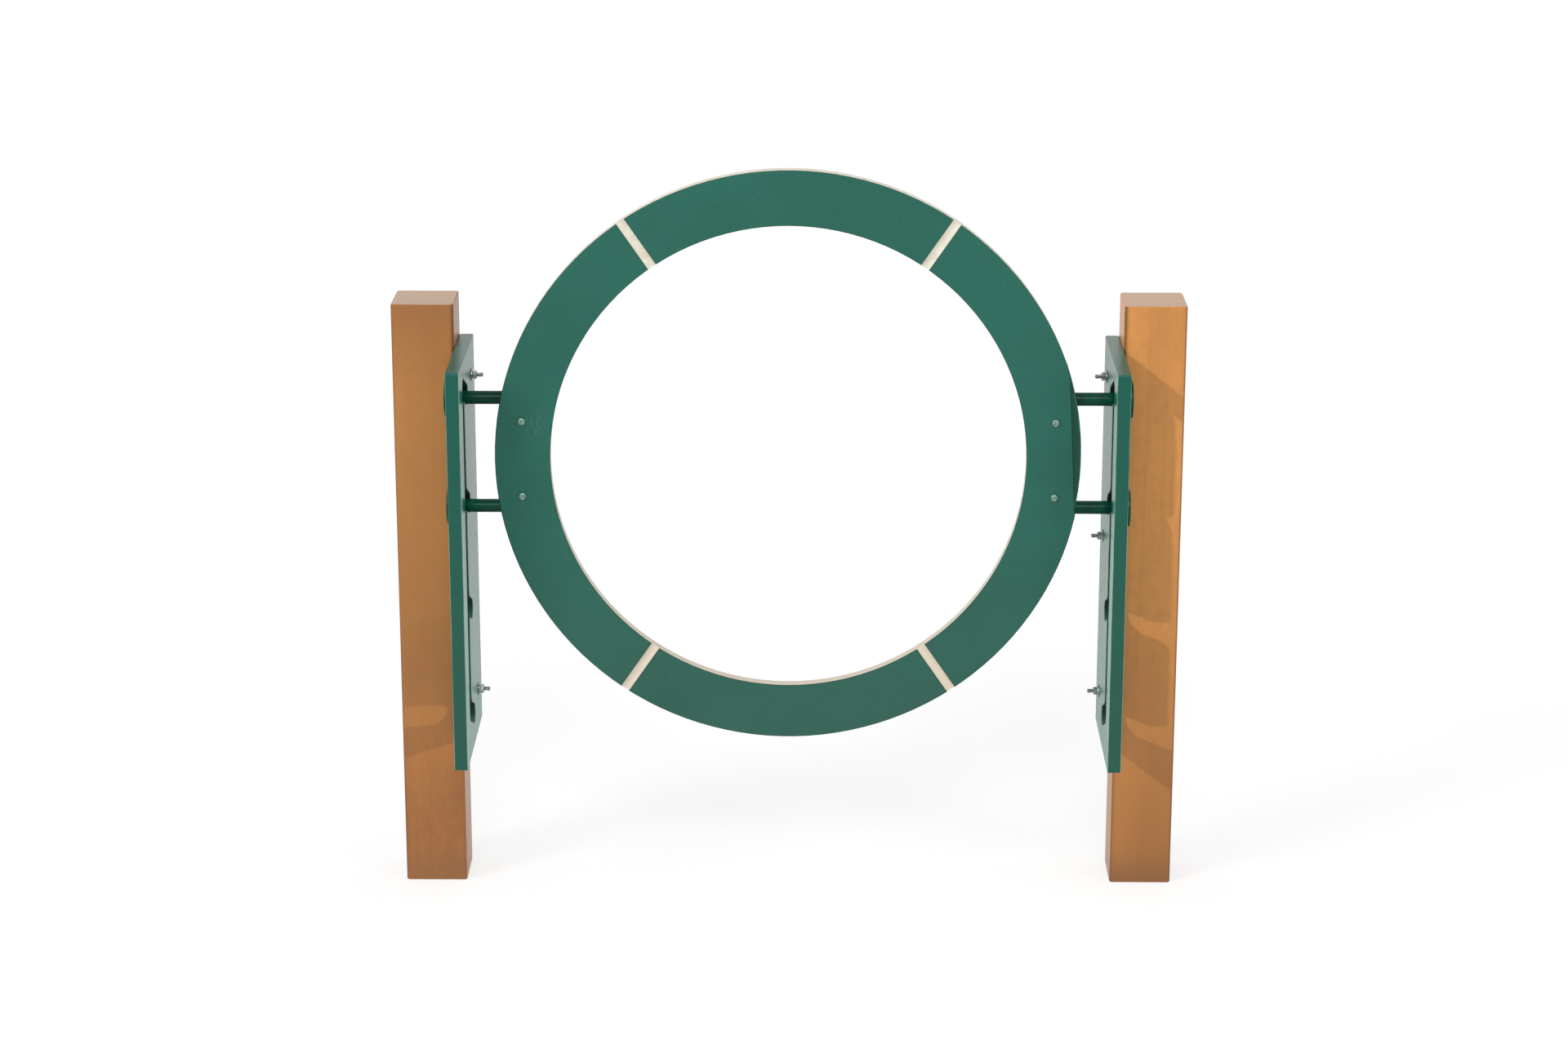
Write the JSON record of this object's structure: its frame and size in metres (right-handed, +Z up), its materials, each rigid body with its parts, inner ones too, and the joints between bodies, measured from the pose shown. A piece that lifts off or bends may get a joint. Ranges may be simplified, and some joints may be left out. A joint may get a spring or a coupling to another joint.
{
  "type": "agility ring jump",
  "caption": "Flat jump ring on tubes hooked into slanted notches of two side plates, bolted to square posts.",
  "frame": {"origin": "on the ground, midway between the posts and midway along the depth of the side plates", "axes": "+X to the right along the jump's width, +Y away from the viewer, through the ring, +Z up"},
  "size_m": [1.1238, 0.2358, 1.0761],
  "materials": {
    "lumber": "recycled plastic lumber, satin",
    "green_sheet": "polyethylene sheet, fine texture",
    "ring_sheet": "three-layer polyethylene sheet, green over a cream core",
    "coated_steel": "glossy plastic coating on steel",
    "zinc": "zinc plated"
  },
  "bodies": {
    "stand": {"left_post": "lumber", "right_post": "lumber", "left_side_plate": "green_sheet", "right_side_plate": "green_sheet", "left_upper_plate_bolt": "zinc", "left_upper_outer_washer": "zinc", "left_upper_inner_washer": "zinc", "left_upper_plate_nut": "zinc", "left_lower_plate_bolt": "zinc", "left_lower_outer_washer": "zinc", "left_lower_inner_washer": "zinc", "left_lower_plate_nut": "zinc", "right_upper_plate_bolt": "zinc", "right_upper_outer_washer": "zinc", "right_upper_inner_washer": "zinc", "right_upper_plate_nut": "zinc", "right_middle_plate_bolt": "zinc", "right_middle_outer_washer": "zinc", "right_middle_inner_washer": "zinc", "right_middle_plate_nut": "zinc", "right_lower_plate_bolt": "zinc", "right_lower_outer_washer": "zinc", "right_lower_inner_washer": "zinc", "right_lower_plate_nut": "zinc"},
    "hung_ring": {"ring": "ring_sheet", "left_mount_block": "green_sheet", "right_mount_block": "green_sheet", "left_upper_tube": "coated_steel", "left_upper_end_disc": "coated_steel", "left_upper_lock_screw": "zinc", "left_upper_ring_bolt": "zinc", "left_upper_ring_washer": "zinc", "left_upper_ring_nut": "zinc", "left_lower_tube": "coated_steel", "left_lower_end_disc": "coated_steel", "left_lower_lock_screw": "zinc", "left_lower_ring_bolt": "zinc", "left_lower_ring_washer": "zinc", "left_lower_ring_nut": "zinc", "right_upper_tube": "coated_steel", "right_upper_end_disc": "coated_steel", "right_upper_lock_screw": "zinc", "right_upper_ring_bolt": "zinc", "right_upper_ring_washer": "zinc", "right_upper_ring_nut": "zinc", "right_lower_tube": "coated_steel", "right_lower_end_disc": "coated_steel", "right_lower_lock_screw": "zinc", "right_lower_ring_bolt": "zinc", "right_lower_ring_washer": "zinc", "right_lower_ring_nut": "zinc"}
  },
  "joints": [
    {"name": "ring_lift", "type": "slide", "parent": "stand", "child": "hung_ring", "axis": [0, -0.9239, 0.3827], "range_m": [0, 0.062]}
  ]
}
